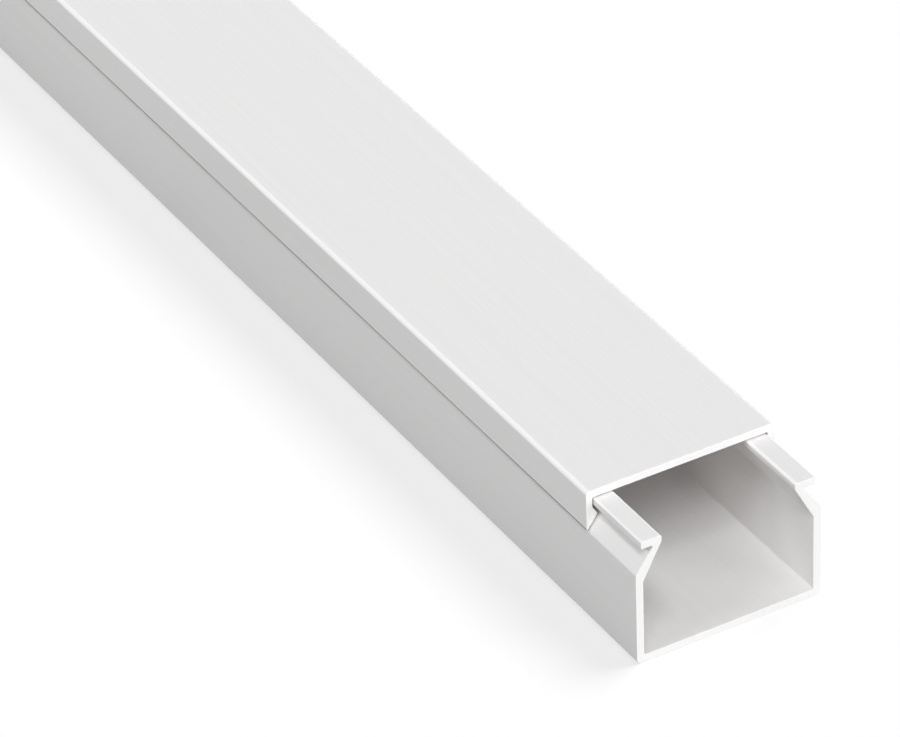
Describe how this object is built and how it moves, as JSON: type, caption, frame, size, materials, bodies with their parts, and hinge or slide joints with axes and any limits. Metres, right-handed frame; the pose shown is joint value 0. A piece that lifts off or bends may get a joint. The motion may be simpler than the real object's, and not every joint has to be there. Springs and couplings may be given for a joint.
{
  "type": "cord cover raceway",
  "caption": "Straight length of white PVC cord cover raceway: a U-shaped base channel with outturned lips, and a flat cover whose barbed skirts snap over the lips and slide along them.",
  "frame": {"origin": "middle of the base channel's flat back, on the face that goes against the wall", "axes": "+Y along the length, away from the end where the cover is slid back; +Z out of the wall, through the cover; +X across"},
  "size_m": [0.04, 0.416, 0.0285],
  "materials": {
    "base_pvc": "white rigid PVC, extruded, satin, sawn ends",
    "cover_pvc": "white rigid PVC, extruded, satin, sawn ends"
  },
  "bodies": {
    "base": {"base_channel": "base_pvc"},
    "cover": {"cover": "cover_pvc"}
  },
  "joints": [
    {"name": "cover_slide", "type": "slide", "parent": "base", "child": "cover", "axis": [0, 1, 0], "range_m": [-0.016, 0.384]}
  ]
}
